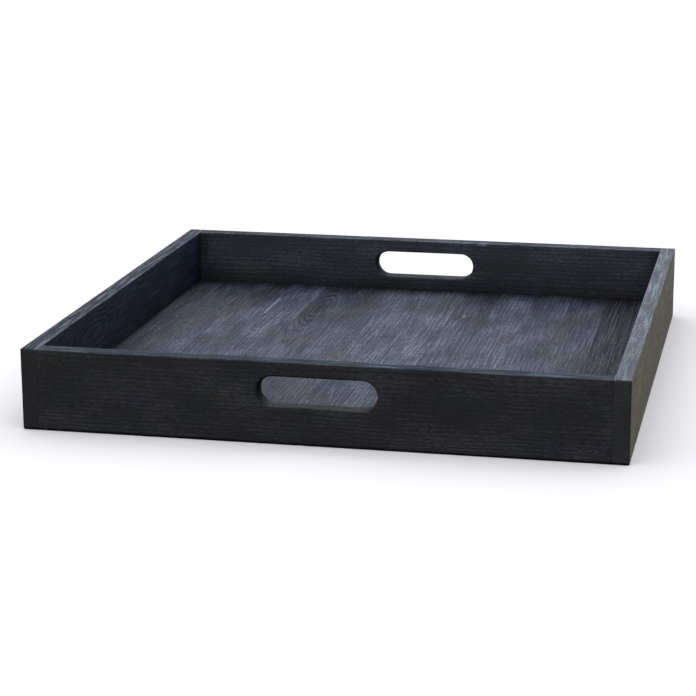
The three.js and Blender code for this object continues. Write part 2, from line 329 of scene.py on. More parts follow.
def growth_rings(tree, grain, pith):
    """Growth rings of one stick of wood, 0 in the hard late wood to 1, and how near its heart is, 0 to 1.

    The same nodes carve the wood and colour it. grain runs along, across and into the stick. pith holds where
    the log's heart lies, across and deep, and how far it dips on both sides of where the grain's length is
    counted from.
    """
    wander, _ = streaks(tree, grain, RING_WANDER_CELL, detail=2.0)
    place = add(tree, "ShaderNodeSeparateXYZ", {0: grain})
    heart = add(tree, "ShaderNodeSeparateXYZ", {0: pith})
    across = add(tree, "ShaderNodeMath", {0: place.outputs[1], 1: heart.outputs[0]}, operation="SUBTRACT")
    deep = add(tree, "ShaderNodeMath", {0: place.outputs[2], 1: heart.outputs[1]}, operation="SUBTRACT")
    square = add(tree, "ShaderNodeMath", {0: place.outputs[0], 1: 2.0}, operation="POWER").outputs[0]
    wider = add(tree, "ShaderNodeMath", {0: square, 1: HEART_BEND ** 2}, operation="ADD")
    dipped = add(tree, "ShaderNodeMath", {0: square, 1: wider.outputs[0]}, operation="DIVIDE")
    bowed = add(
        tree, "ShaderNodeMath", {0: dipped.outputs[0], 1: heart.outputs[2], 2: deep.outputs[0]},
        operation="MULTIPLY_ADD",
    )
    spoke = add(tree, "ShaderNodeCombineXYZ", {0: across.outputs[0], 1: bowed.outputs[0]})
    radius = add(tree, "ShaderNodeVectorMath", {0: spoke.outputs[0]}, operation="LENGTH").outputs["Value"]
    wandering = add(tree, "ShaderNodeMath", {0: wander, 1: RING_WANDER, 2: radius}, operation="MULTIPLY_ADD")
    count = add(tree, "ShaderNodeMath", {0: wandering.outputs[0], 1: RING_WIDTH}, operation="DIVIDE")
    half_year = add(tree, "ShaderNodeMath", {0: count.outputs[0], 1: 0.5}, operation="PINGPONG")
    rings = add(
        tree, "ShaderNodeMapRange", {"Value": half_year.outputs[0], "From Min": 0.0, "From Max": LATE_WOOD},
        interpolation_type="SMOOTHSTEP",
    )
    closest, farthest = HEART_SPREAD
    close = add(
        tree, "ShaderNodeMapRange", {"Value": radius, "From Min": farthest, "From Max": closest},
        interpolation_type="SMOOTHSTEP",
    )
    hidden, shown = HEART_SIDE
    half = add(
        tree, "ShaderNodeMapRange", {"Value": across.outputs[0], "From Min": hidden, "From Max": shown},
        interpolation_type="SMOOTHSTEP",
    )
    near = add(tree, "ShaderNodeMath", {0: close.outputs[0], 1: half.outputs[0]}, operation="MULTIPLY")
    return rings.outputs[0], near.outputs[0]


def brushed_grain_tree():
    """Brushes a milled board or stave.

    It marks the grain, sinks the soft wood in grooves, dents the eased edges and gives the finish.
    """
    tree = bpy.data.node_groups.new("brushed_grain", "GeometryNodeTree")
    tree.interface.new_socket("Geometry", in_out="OUTPUT", socket_type="NodeSocketGeometry")
    tree.interface.new_socket("Geometry", in_out="INPUT", socket_type="NodeSocketGeometry")
    for name, kind in (
        ("Middle", "NodeSocketVector"),
        ("Half Thickness", "NodeSocketFloat"),
        ("Along", "NodeSocketVector"),
        ("Grain Turn", "NodeSocketFloat"),
        ("Grain Roll", "NodeSocketFloat"),
        ("Log Place", "NodeSocketVector"),
        ("Pith", "NodeSocketVector"),
        ("Figure", "NodeSocketFloat"),
        ("Outer Side", "NodeSocketVector"),
        ("Outer Stain And Painted Light", "NodeSocketVector"),
        ("Inner Stain And Painted Light", "NodeSocketVector"),
        ("End Stain", "NodeSocketVector"),
        ("Rim Stain And Painted Light", "NodeSocketVector"),
        ("Dryness", "NodeSocketFloat"),
        ("Rim Weather", "NodeSocketFloat"),
        ("Inner Weather", "NodeSocketFloat"),
        ("Wear And Painted Highlight", "NodeSocketFloat"),
        ("Groove Depth", "NodeSocketFloat"),
        ("Ring Depth", "NodeSocketFloat"),
        ("Dent Depth", "NodeSocketFloat"),
        ("Brushed Axes", "NodeSocketVector"),
        ("Finish", "NodeSocketMaterial"),
        ("Outer Finish", "NodeSocketMaterial"),
    ):
        tree.interface.new_socket(name, in_out="INPUT", socket_type=kind)
    given = add(tree, "NodeGroupInput").outputs

    # The grain: the piece turned and rolled to lie along its log, at a place of its own in the noise
    place = add(tree, "GeometryNodeInputPosition")
    normal = add(tree, "GeometryNodeInputNormal").outputs[0]
    centred = add(
        tree, "ShaderNodeVectorMath", {0: place.outputs[0], 1: given["Middle"]}, operation="SUBTRACT"
    ).outputs[0]
    turned = add(
        tree, "ShaderNodeVectorRotate", {"Vector": centred, "Angle": given["Grain Turn"]},
        rotation_type="Z_AXIS",
    )
    rolled = add(
        tree, "ShaderNodeVectorRotate", {"Vector": turned.outputs[0], "Angle": given["Grain Roll"]},
        rotation_type="X_AXIS",
    )
    grain = add(
        tree, "ShaderNodeVectorMath", {0: rolled.outputs[0], 1: given["Log Place"]}, operation="ADD"
    ).outputs[0]
    rings, _ = growth_rings(tree, grain, given["Pith"])
    grooves, _ = streaks(tree, grain, GROOVE, detail=2.0)

    # Eased edges, and dents along them
    angle = add(tree, "GeometryNodeInputMeshEdgeAngle").outputs["Signed Angle"]
    square_edge, round_edge = EASED_ANGLE
    eased = add(
        tree, "ShaderNodeMapRange", {"Value": angle, "From Min": square_edge, "From Max": round_edge},
        interpolation_type="SMOOTHSTEP",
    ).outputs[0]
    knocks, _ = streaks(tree, grain, DENT, detail=2.0)
    dents = add(
        tree, "ShaderNodeMapRange",
        {"Value": knocks, "From Min": DENT_NOISE[0], "From Max": DENT_NOISE[1]},
        interpolation_type="SMOOTHSTEP",
    )
    dented = add(tree, "ShaderNodeMath", {0: dents.outputs[0], 1: eased}, operation="MULTIPLY").outputs[0]

    # Which way the surface faces: outwards, inwards, along the grain, or up, which counts only at the rim
    out = add(
        tree, "ShaderNodeVectorMath", {0: normal, 1: given["Outer Side"]}, operation="DOT_PRODUCT"
    ).outputs["Value"]
    outer = add(tree, "ShaderNodeClamp", {0: out}).outputs[0]
    inner = add(tree, "ShaderNodeMapRange", {"Value": out, "From Min": 1.0, "From Max": -1.0}).outputs[0]
    inward = add(tree, "ShaderNodeMapRange", {"Value": out, "From Min": 0.0, "From Max": -1.0}).outputs[0]
    lengthwise = add(tree, "ShaderNodeVectorMath", {0: normal, 1: given["Along"]}, operation="DOT_PRODUCT")
    end = add(tree, "ShaderNodeMath", {0: lengthwise.outputs["Value"]}, operation="ABSOLUTE").outputs[0]
    rise = add(tree, "ShaderNodeSeparateXYZ", {0: normal}).outputs[2]
    upright = add(
        tree, "ShaderNodeMapRange", {"Value": rise, "From Min": UPPER_RISE[0], "From Max": UPPER_RISE[1]}
    )
    flat = add(
        tree, "ShaderNodeMapRange", {"Value": rise, "From Min": FLAT_RISE[0], "From Max": FLAT_RISE[1]}
    )
    height = add(tree, "ShaderNodeSeparateXYZ", {0: place.outputs[0]}).outputs[2]
    rim_foot = cad_box[1][2] - RIM_DEPTH
    top = add(tree, "ShaderNodeMath", {0: height, 1: rim_foot}, operation="GREATER_THAN").outputs[0]
    upper = add(tree, "ShaderNodeMath", {0: upright.outputs[0], 1: top}, operation="MULTIPLY").outputs[0]
    rim = add(tree, "ShaderNodeMath", {0: flat.outputs[0], 1: top}, operation="MULTIPLY").outputs[0]

    # The stain on each side, partly painted light, and the faces where ovals show, which are all but the
    # outer one
    stain = given["Outer Stain And Painted Light"]
    for side, name in ((inner, "Inner Stain And Painted Light"), (end, "End Stain"), (rim, "Rim Stain And Painted Light")):
        stain = add(tree, "ShaderNodeMix", {0: side, 4: stain, 5: given[name]}, data_type="VECTOR").outputs[1]
    within = add(tree, "ShaderNodeMath", {0: 1.0, 1: outer}, operation="SUBTRACT").outputs[0]
    figure = add(tree, "ShaderNodeMath", {0: within, 1: given["Figure"]}, operation="MULTIPLY").outputs[0]

    # How dry the outer face is, and the weather on it, on the rim and on the inner face
    dry = add(tree, "ShaderNodeMath", {0: outer, 1: given["Dryness"]}, operation="MULTIPLY").outputs[0]
    weather = dry
    for side, name in ((rim, "Rim Weather"), (inward, "Inner Weather")):
        part = add(tree, "ShaderNodeMath", {0: side, 1: given[name]}, operation="MULTIPLY").outputs[0]
        weather = add(tree, "ShaderNodeMath", {0: weather, 1: part}, operation="MAXIMUM").outputs[0]

    # The strips along the rim's edges that hands have worn, paler partly as a painted highlight, the inner
    # one more than the outer one
    off_middle = add(
        tree, "ShaderNodeVectorMath", {0: centred, 1: given["Outer Side"]}, operation="DOT_PRODUCT"
    ).outputs["Value"]
    beside = add(tree, "ShaderNodeMath", {0: off_middle}, operation="ABSOLUTE")
    inset = add(
        tree, "ShaderNodeMath", {0: given["Half Thickness"], 1: beside.outputs[0]}, operation="SUBTRACT"
    )
    at_edge = add(
        tree, "ShaderNodeMapRange", {"Value": inset.outputs[0], "From Min": WORN_WIDTH, "From Max": 0.0}
    )
    by_side = add(
        tree, "ShaderNodeMapRange",
        {"Value": off_middle, "From Min": -WORN_WIDTH, "From Max": WORN_WIDTH,
         "To Min": 1.0, "To Max": OUTER_WEAR},
    )
    worn_and_painted_highlight = given["Wear And Painted Highlight"]
    for part in (upper, at_edge.outputs[0], by_side.outputs[0]):
        worn_and_painted_highlight = add(tree, "ShaderNodeMath", {0: worn_and_painted_highlight, 1: part}, operation="MULTIPLY").outputs[0]

    # Marks that the finish reads
    shape = given["Geometry"]
    for name, kind, value in (
        ("grain", "FLOAT_VECTOR", grain),
        ("along", "FLOAT_VECTOR", given["Along"]),
        ("pith", "FLOAT_VECTOR", given["Pith"]),
        ("figure", "FLOAT", figure),
        ("stain", "FLOAT_VECTOR", stain),
        ("dry", "FLOAT", dry),
        ("weather", "FLOAT", weather),
        ("worn_and_painted_highlight", "FLOAT", worn_and_painted_highlight),
        ("end_grain", "FLOAT", end),
    ):
        marked = add(
            tree, "GeometryNodeStoreNamedAttribute", {"Geometry": shape, "Name": name, "Value": value},
            data_type=kind, domain="POINT",
        )
        shape = marked.outputs[0]

    # Grooves, rings and dents sunk in along the brushed axes
    sunk = 0.0
    for part, depth in ((grooves, "Groove Depth"), (rings, "Ring Depth"), (dented, "Dent Depth")):
        sunk = add(
            tree, "ShaderNodeMath", {0: part, 1: given[depth], 2: sunk}, operation="MULTIPLY_ADD"
        ).outputs[0]
    inwards = add(tree, "ShaderNodeVectorMath", {0: normal, 1: given["Brushed Axes"]}, operation="MULTIPLY")
    down = add(tree, "ShaderNodeMath", {0: sunk, 1: -1.0}, operation="MULTIPLY")
    offset = add(
        tree, "ShaderNodeVectorMath", {0: inwards.outputs[0], "Scale": down.outputs[0]}, operation="SCALE"
    )
    carved = add(tree, "GeometryNodeSetPosition", {"Geometry": shape, "Offset": offset.outputs[0]})

    # The finish, and the one on the outer face
    whole = add(tree, "GeometryNodeRealizeInstances", {"Geometry": carved.outputs[0]})
    stained = add(
        tree, "GeometryNodeSetMaterial", {"Geometry": whole.outputs[0], "Material": given["Finish"]}
    )
    outside = add(tree, "ShaderNodeMath", {0: out, 1: OUTER_LEAN}, operation="GREATER_THAN")
    faced = add(
        tree, "GeometryNodeSetMaterial",
        {"Geometry": stained.outputs[0], "Selection": outside.outputs[0], "Material": given["Outer Finish"]},
    )
    add(tree, "NodeGroupOutput", {"Geometry": faced.outputs[0]})
    return tree


def new_material(name):
    """A material with an empty node tree but for its shader, which is returned with the tree."""
    material = bpy.data.materials.new(name)
    material.use_nodes = True
    material.node_tree.nodes.clear()
    shader = add(material.node_tree, "ShaderNodeBsdfPrincipled")
    add(material.node_tree, "ShaderNodeOutputMaterial", {"Surface": shader.outputs[0]})
    return material, material.node_tree, shader


def stained_wood(name, stain, fibre, fleck, shares, roughness, gloss, sheen, bump_depth):
    """Open-grained hardwood, wire-brushed, stained black and oiled.

    To the eye: fine dark and pale streaks along the grain, dry pale flecks on the ridges, clouds of blue,
    violet and brown where the stain took unevenly, a stain on each side that is partly painted light, rubbed
    edges that are partly a painted highlight, painted shade along lower edges, in corners and round the hand
    slots, and a satin gloss at a low angle that runs along the grain. Where the oil has gone, a sheen of
    raised fibres takes its place.
    """
    dark, middle, light, paler = stain
    material, tree, shader = new_material(name)
    marks = {}
    for label in ("figure", "dry", "weather", "worn_and_painted_highlight", "end_grain", "painted_shade", "painted_slot_ledge_light", "chipped_and_highlight"):
        marks[label] = add(tree, "ShaderNodeAttribute", attribute_name=label).outputs["Fac"]
    for label in ("grain", "along", "pith", "stain"):
        marks[label] = add(tree, "ShaderNodeAttribute", attribute_name=label).outputs["Vector"]
    grain = marks["grain"]

    # Ovals close to the heart, and fibres that are stronger where the brush bit deeper
    rings, near = growth_rings(tree, grain, marks["pith"])
    shown = add(tree, "ShaderNodeMath", {0: near, 1: marks["figure"]}, operation="MULTIPLY")
    lines = add(tree, "ShaderNodeMath", {0: rings, 1: HEART_SHADE}, operation="SUBTRACT")
    ovals = add(
        tree, "ShaderNodeMath", {0: shown.outputs[0], 1: lines.outputs[0]}, operation="MULTIPLY"
    ).outputs[0]
    strands, _ = streaks(tree, grain, fibre, detail=3.0)
    patches, _ = streaks(tree, grain, BRUSHED_PATCH, detail=2.0)
    bite = add(
        tree, "ShaderNodeMapRange",
        {"Value": patches, "From Min": PATCH_NOISE[0], "From Max": PATCH_NOISE[1],
         "To Min": PATCH_BITE[0], "To Max": PATCH_BITE[1]},
    )
    off_middle = add(tree, "ShaderNodeMath", {0: strands, 1: NOISE_MIDDLE}, operation="SUBTRACT")
    fibres = add(
        tree, "ShaderNodeMath", {0: off_middle.outputs[0], 1: bite.outputs[0], 2: NOISE_MIDDLE},
        operation="MULTIPLY_ADD",
    ).outputs[0]

    # Flecks, pores, mottle, clouds and weather
    specks, _ = streaks(tree, grain, fleck, detail=1.0)
    holes, _ = streaks(tree, grain, PORE, detail=1.0)
    mottle, _ = streaks(tree, grain, MOTTLE, detail=2.0)
    cloud, _ = streaks(tree, grain, CLOUD, detail=3.0)
    _, hues = streaks(tree, grain, HUE, detail=2.0)
    stains, _ = streaks(tree, grain, WEATHER, detail=2.0)
    off_plain = add(tree, "ShaderNodeMath", {0: stains, 1: NOISE_MIDDLE}, operation="SUBTRACT")
    weathered = add(
        tree, "ShaderNodeMath", {0: off_plain.outputs[0], 1: marks["weather"]}, operation="MULTIPLY"
    ).outputs[0]
    flecks = add(
        tree, "ShaderNodeMapRange",
        {"Value": specks, "From Min": FLECK_NOISE[0], "From Max": FLECK_NOISE[1]},
        interpolation_type="SMOOTHSTEP",
    ).outputs[0]
    pores = add(
        tree, "ShaderNodeMapRange", {"Value": holes, "From Min": PORE_NOISE[0], "From Max": PORE_NOISE[1]},
        interpolation_type="SMOOTHSTEP",
    ).outputs[0]

    # Shade from 0, dark, to 1, light, which varies less on end grain, where the stain soaked in
    parts = {
        "fibres": fibres, "mottle": mottle, "cloud": cloud, "flecks": flecks, "pores": pores, "rings": rings,
        "ovals": ovals, "weather": weathered, "painted_slot_ledge_light": marks["painted_slot_ledge_light"],
    }
    shade = MIDDLE_SHADE - NOISE_MIDDLE * sum(shares[part] for part in EVEN_PARTS)
    for part, share in shares.items():
        shade = add(
            tree, "ShaderNodeMath", {0: parts[part], 1: share, 2: shade}, operation="MULTIPLY_ADD"
        ).outputs[0]
    calm = add(tree, "ShaderNodeMath", {0: marks["end_grain"], 1: END_CALM}, operation="MULTIPLY")
    shade = add(
        tree, "ShaderNodeMix", {0: calm.outputs[0], 2: shade, 3: MIDDLE_SHADE}, data_type="FLOAT"
    ).outputs[0]
    ramp = add(tree, "ShaderNodeValToRGB", {"Fac": shade})
    ramp.color_ramp.elements[0].position = 0.0
    ramp.color_ramp.elements[0].color = linear(dark)
    ramp.color_ramp.elements[1].position = 1.0
    ramp.color_ramp.elements[1].color = linear(light)
    ramp.color_ramp.elements.new(MIDDLE_SHADE).color = linear(middle)

    # Clouds of hue, the stain of each side, partly painted light, painted shade, and pale wood where rubbed
    # or chipped, partly a painted highlight
    tint = add(tree, "ShaderNodeVectorMath", {0: hues, 1: HUE_SWING, 2: HUE_LEAST}, operation="MULTIPLY_ADD")
    coat = ramp.outputs[0]
    for part in (tint.outputs[0], marks["stain"]):
        coat = add(tree, "ShaderNodeVectorMath", {0: coat, 1: part}, operation="MULTIPLY").outputs[0]
    # Painted shade: along lower edges, in inner corners, round the hand slots and at the edges and front of
    # the base
    painted_shade_factor = add(tree, "ShaderNodeMapRange", {"Value": marks["painted_shade"], "To Min": 1.0, "To Max": PAINTED_SHADE_LEFT})
    darkened = add(tree, "ShaderNodeVectorMath", {0: coat, "Scale": painted_shade_factor.outputs[0]}, operation="SCALE")
    uneven = add(tree, "ShaderNodeMath", {0: cloud, 1: specks}, operation="ADD")
    patchy = add(
        tree, "ShaderNodeMapRange",
        {"Value": uneven.outputs[0], "From Min": RUBBED_NOISE[0], "From Max": RUBBED_NOISE[1]},
    )
    bare = add(tree, "ShaderNodeMath", {0: patchy.outputs[0], 1: marks["worn_and_painted_highlight"]}, operation="MULTIPLY")
    pale = add(tree, "ShaderNodeMath", {0: bare.outputs[0], 1: marks["chipped_and_highlight"]}, operation="MAXIMUM")
    coloured = add(
        tree, "ShaderNodeMix", {0: pale.outputs[0], 6: darkened.outputs[0], 7: linear(paler)},
        data_type="RGBA",
    )
    tree.links.new(coloured.outputs[2], shader.inputs["Base Color"])

    # Satin gloss along the grain, matt under the painted shade and where the wood is dry
    dull, polished = roughness
    satin = add(
        tree, "ShaderNodeMapRange",
        {"Value": shade, "From Min": SATIN_SHADES[0], "From Max": SATIN_SHADES[1],
         "To Min": dull, "To Max": polished},
    )
    matt = add(tree, "ShaderNodeMath", {0: marks["painted_shade"], 1: marks["dry"]}, operation="MAXIMUM")
    rough = add(
        tree, "ShaderNodeMix", {0: matt.outputs[0], 2: satin.outputs[0], 3: MATT_ROUGHNESS}, data_type="FLOAT"
    )
    tree.links.new(rough.outputs[0], shader.inputs["Roughness"])
    shader.inputs["IOR"].default_value = WOOD_IOR
    shader.inputs["Specular IOR Level"].default_value = gloss
    shader.inputs["Sheen Weight"].default_value = sheen
    shader.inputs["Sheen Roughness"].default_value = SHEEN_ROUGHNESS
    shader.inputs["Sheen Tint"].default_value = linear(SHEEN_TINT)
    shader.inputs["Anisotropic"].default_value = ANISOTROPY
    shader.inputs["Anisotropic Rotation"].default_value = QUARTER_TURN
    tree.links.new(marks["along"], shader.inputs["Tangent"])

    # Relief too fine for the mesh
    ridges = add(tree, "ShaderNodeMath", {0: fibres, 1: pores}, operation="SUBTRACT")
    relief = add(tree, "ShaderNodeMath", {0: ridges.outputs[0], 1: mottle}, operation="ADD")
    bump = add(
        tree, "ShaderNodeBump",
        {"Strength": BUMP_STRENGTH, "Distance": bump_depth, "Height": relief.outputs[0]},
    )
    tree.links.new(bump.outputs[0], shader.inputs["Normal"])
    return material


def bare_beech():
    """Steamed beech, turned and fluted, left bare.

    To the eye: pale pinkish brown with short darker flecks along the grain.
    """
    material, tree, shader = new_material("bare_beech")
    place = add(tree, "ShaderNodeTexCoord").outputs["Object"]
    fleck, _ = streaks(tree, place, BEECH_FLECK, detail=3.0)
    ramp = add(tree, "ShaderNodeValToRGB", {"Fac": fleck})
    for element, (position, colour) in zip(ramp.color_ramp.elements, BEECH_TONES):
        element.position = position
        element.color = linear(colour)
    tree.links.new(ramp.outputs[0], shader.inputs["Base Color"])
    rough = add(
        tree, "ShaderNodeMapRange",
        {"Value": fleck, "To Min": BEECH_ROUGHNESS[0], "To Max": BEECH_ROUGHNESS[1]},
    )
    tree.links.new(rough.outputs[0], shader.inputs["Roughness"])
    return material


def grid_lines(low, high, step, radius, extra):
    """Places of grid lines from low to high.

    They lie about a step apart, close together over a rounded edge at each end, and where extra has them.
    """
    turns = np.radians(np.linspace(45, 0, EDGE_STEPS + 1))
    edge = radius * (1 - np.tan(turns))
    count = max(1, round((high - low - 2 * radius) / step))
    middle = np.linspace(low + radius, high - radius, count + 1)[1:-1]
    return np.unique(np.concatenate([low + edge, middle, extra, high - edge]))


def dense_block(axes):
    """A closed block of small cells on grid lines along three axes, as its points and faces."""
    skin = np.zeros([len(axis) for axis in axes], bool)
    sides = [(axis, end) for axis in range(3) for end in (0, -1)]
    slices = {(axis, end): tuple(end if a == axis else slice(None) for a in range(3)) for axis, end in sides}
    for side in sides:
        skin[slices[side]] = True
    corners = np.argwhere(skin)
    number = np.zeros(skin.shape, int)
    number[skin] = np.arange(len(corners))
    points = np.stack([axes[a][corners[:, a]] for a in range(3)], 1)
    faces = []
    for axis, end in sides:
        grid = number[slices[axis, end]]
        quads = np.stack([grid[:-1, :-1], grid[1:, :-1], grid[1:, 1:], grid[:-1, 1:]], -1).reshape(-1, 4)
        outwards = (end == -1) == (axis != 1)
        faces.append(quads if outwards else quads[:, ::-1])
    return points, np.concatenate(faces)


def ease(points, low, high, plane, radius):
    """Rounds the edges that stand square to a plane of two axes, to a radius given for every point."""
    plane = list(plane)
    radius = radius[:, None]
    core = np.clip(points[:, plane], low[plane] + radius, high[plane] - radius)
    lean = points[:, plane] - core
    reach = np.linalg.norm(lean, axis=1, keepdims=True)
    on_edge = (lean != 0).all(axis=1)
    drawn_in = core + lean * np.minimum(1, radius / np.maximum(reach, LEAST_REACH))
    points[np.ix_(on_edge, plane)] = drawn_in[on_edge]


def put(name, data):
    """A new object for a mesh, lamp or camera, in the scene."""
    piece = bpy.data.objects.new(name, data)
    bpy.context.scene.collection.objects.link(piece)
    return piece


def applied(piece):
    """The mesh that an object's modifiers give, which then replaces its own mesh and modifiers."""
    graph = bpy.context.evaluated_depsgraph_get()
    mesh = bpy.data.meshes.new_from_object(piece.evaluated_get(graph))
    piece.modifiers.clear()
    piece.data = mesh
    return mesh


def box_corners(node):
    """The low and the high corner of a node's box."""
    return [np.array(corner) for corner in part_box(node)]


def milled(node, points, faces):
    """The dense block cut to the node's own shape, with its groove, slot, holes or tongue."""
    merged = bmesh.new()
    merged.from_mesh(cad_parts[node].data)
    bmesh.ops.remove_doubles(merged, verts=merged.verts, dist=MERGE_DISTANCE)
    shape = bpy.data.meshes.new("shape")
    merged.to_mesh(shape)
    merged.free()
    # Its own normals would tilt the light on the cut edges
    shape.attributes.remove(shape.attributes["custom_normal"])
    cutter = put("shape", shape)
    block = bpy.data.meshes.new("block")
    block.from_pydata(points.tolist(), [], faces.tolist())
    piece = put("brushed_" + node, block)
    cut = piece.modifiers.new("milled", "BOOLEAN")
    cut.operation = "INTERSECT"
    cut.solver = "MANIFOLD"
    cut.object = cutter
    applied(piece)
    bpy.data.objects.remove(cutter)
    return piece


def points_of(piece):
    """The places of a piece's vertices, one row each."""
    points = np.empty(3 * len(piece.data.vertices), "f")
    piece.data.vertices.foreach_get("co", points)
    return points.reshape(-1, 3).astype(float)


def set_points(piece, points):
    """Moves a piece's vertices to the places given, one row each."""
    piece.data.vertices.foreach_set("co", points.astype("f").ravel())


def mark(piece, name, values):
    """Stores a number for every vertex, which the finish reads."""
    piece.data.attributes.new(name, "FLOAT", "POINT").data.foreach_set("value", values.astype("f"))


def let_out(piece, low, high, growth):
    """Stretches a piece about its middle so that each side moves out by the growth along its axis."""
    middle = (low + high) / 2
    set_points(piece, middle + (points_of(piece) - middle) * (1 + 2 * np.array(growth) / (high - low)))


def rising(values, low, high):
    """Values as shares of the way from low to high, from 0 to 1."""
    return np.clip((values - low) / (high - low), 0, 1)


def board_painted_shade(points, across):
    """How much painted shade a board takes at each point: a painted contact shadow along its lower edges,
    some inside.

    Inside, it lies at the foot of the face and in its corners, where shade falls. across is the axis through
    the thickness.
    """
    darkest, plain = LOW_EDGE_SHADOW
    low_edge_shadow = rising(points[:, 2], plain, darkest)
    inside = np.abs(points[:, across]) < INNER_FACE + 2 * SKIN
    foot = inside * rising(points[:, 2], BASE_TOP + FOOT_HEIGHT, BASE_TOP)
    corner = inside * rising(np.abs(points[:, 1 - across]), INNER_FACE - INNER_CORNER_WIDTH, INNER_FACE)
    return np.maximum(low_edge_shadow, np.maximum(FOOT_SHARE * foot, INNER_CORNER_SHARE * corner))


def mark_slot(piece):
    """Marks the painted shade on a handle board, and the ledge of its hand slot, which is painted a little
    lighter.

    The painted shade is darkest on the slot's edge, but left off the ledge, which faces up, and off one end.
    """
    points = points_of(piece)
    radius = HAND_SLOT_HEIGHT / 2
    past_straight = np.maximum(np.abs(points[:, 0]) - (HAND_SLOT_LENGTH / 2 - radius), 0)
    off_outline = np.hypot(past_straight, points[:, 2] - HAND_SLOT_BOTTOM - radius) - radius
    edge = rising(off_outline, BOARD_EDGE + EDGE_FADE / 2, BOARD_EDGE - EDGE_FADE / 2)
    ledge = rising(points[:, 2], HAND_SLOT_BOTTOM + SLOT_LEDGE_RISE, HAND_SLOT_BOTTOM)
    paler = np.maximum(ledge, rising(points[:, 0], *SLOT_UNSHADED_END))
    mark(piece, "painted_shade", np.maximum(edge * (1 - paler), board_painted_shade(points, 1) * (1 - edge)))
    mark(piece, "painted_slot_ledge_light", edge * ledge)


def chip(piece, chips):
    """Knocks small chips and splinters out of a piece and marks them pale: bare wood, and on one stave a
    painted highlight.
    """
    points = points_of(piece)
    normals = np.empty(points.size, "f")
    piece.data.vertices.foreach_get("normal", normals)
    chipped_and_highlight = np.zeros(len(points))
    for start, stop, radius, depth in chips:
        start = np.array(start) * MM
        run = np.array(stop) * MM - start
        share = np.clip((points - start) @ run / (run @ run), 0, 1)
        away = np.linalg.norm(points - start - share[:, None] * run, axis=1) / (radius * MM)
        hollow = np.clip(1 - away ** 2, 0, 1)
        chipped_and_highlight = np.maximum(chipped_and_highlight, hollow)
        points -= hollow[:, None] * normals.reshape(-1, 3) * depth * MM
    set_points(piece, points)
    mark(piece, "chipped_and_highlight", chipped_and_highlight)


def handle_board(node):
    """A handle board: eased along its length, square at its ends, which close up to the side boards."""
    low, high = box_corners(node)
    start = low + SKIN
    stop = high - SKIN
    steps = (BOARD_CELL_ALONG, BOARD_CELL_ACROSS, BOARD_CELL_ACROSS)
    edges = (SKIN, BOARD_EDGE, BOARD_EDGE)
    axes = [grid_lines(*sizes, []) for sizes in zip(start, stop, steps, edges)]
    points, faces = dense_block(axes)
    ease(points, start, stop, (1, 2), np.full(len(points), BOARD_EDGE))
    piece = milled(node, points, faces)
    let_out(piece, low, high, (HANDLE_BOARD_GROWTH, 0, 0))
    mark_slot(piece)
    return piece


def side_board(node):
    """A side board: eased all round, but square on its inner face where the handle boards butt."""
    low, high = box_corners(node)
    start = low + SKIN
    stop = high - SKIN
    joint = high[1] - (high[0] - low[0])
    steps = (BOARD_CELL_ACROSS, BOARD_CELL_ALONG, BOARD_CELL_ACROSS)
    joint_lines = [-joint - BOARD_EDGE, -joint, joint, joint + BOARD_EDGE]
    extras = ([], joint_lines, [])
    axes = [grid_lines(*sizes) for sizes in zip(start, stop, steps, (BOARD_EDGE,) * 3, extras)]
    points, faces = dense_block(axes)
    side = np.sign(low[0] + high[0])
    outer = side * (points[:, 0] - (low[0] + high[0]) / 2) > 0
    open_length = np.clip((joint + BOARD_EDGE - abs(points[:, 1])) / BOARD_EDGE, 0, 1)
    ease(points, start, stop, (0, 2), BOARD_EDGE * np.where(outer, 1, open_length))
    ease(points, start, stop, (1, 2), np.full(len(points), BOARD_EDGE))
    ease(points, start, stop, (0, 1), BOARD_EDGE * outer)
    piece = milled(node, points, faces)
    points = points_of(piece)
    # Painted contact shadow and painted shade inside, and a thin darker line down the tray's outer corner
    off_corner = np.abs(cad_box[1][:2] - np.abs(points[:, :2])).sum(axis=1)
    corner = CORNER_SHARE * rising(off_corner, BOARD_EDGE, BOARD_EDGE - EDGE_FADE)
    mark(piece, "painted_shade", np.maximum(board_painted_shade(points, 0), corner))
    return piece


def base_stave(node):
    """A stave of the base, cut to its tongue, and let out until it meets its neighbours."""
    low, high = box_corners(node)
    overhang = np.array([OVERHANG, OVERHANG, -SKIN])
    steps = (STAVE_CELL_ACROSS, STAVE_CELL_ALONG, STAVE_CELL_DEEP)
    axes = [grid_lines(*sizes, []) for sizes in zip(low - overhang, high + overhang, steps, (SKIN,) * 3)]
    piece = milled(node, *dense_block(axes))
    let_out(piece, low, high, (STAVE_GROWTH, STAVE_GROWTH, 0))
    points = points_of(piece)
    # Painted shade along the foot of the boards, and the front board's painted shadow towards the front
    off_boards = INNER_FACE - np.abs(points)
    across = rising(off_boards[:, 0], BASE_EDGE_ACROSS, 0)
    along = rising(off_boards[:, 1], BASE_EDGE_ALONG, 0)
    front = rising(points[:, 1], *BASE_FRONT)
    mark(piece, "painted_shade", np.maximum(BASE_EDGE_SHARE * np.maximum(across, along), BASE_FRONT_SHARE * front))
    return piece


def brush(piece, tree, sizes):
    """Chips a milled piece, brushes it with the tree's named inputs, and keeps the result as a plain mesh."""
    node = piece.name.removeprefix("brushed_")
    if node in CHIPS_AND_HIGHLIGHTS:
        chip(piece, CHIPS_AND_HIGHLIGHTS[node])
    brushing = piece.modifiers.new("brushed", "NODES")
    brushing.node_group = tree
    sockets = {s.name: s.identifier for s in tree.interface.items_tree if s.in_out == "INPUT"}
    for name, value in sizes.items():
        brushing[sockets[name]] = value
    mesh = applied(piece)
    mesh.shade_smooth()
    mesh.set_sharp_from_angle(angle=SHARP_EDGE)


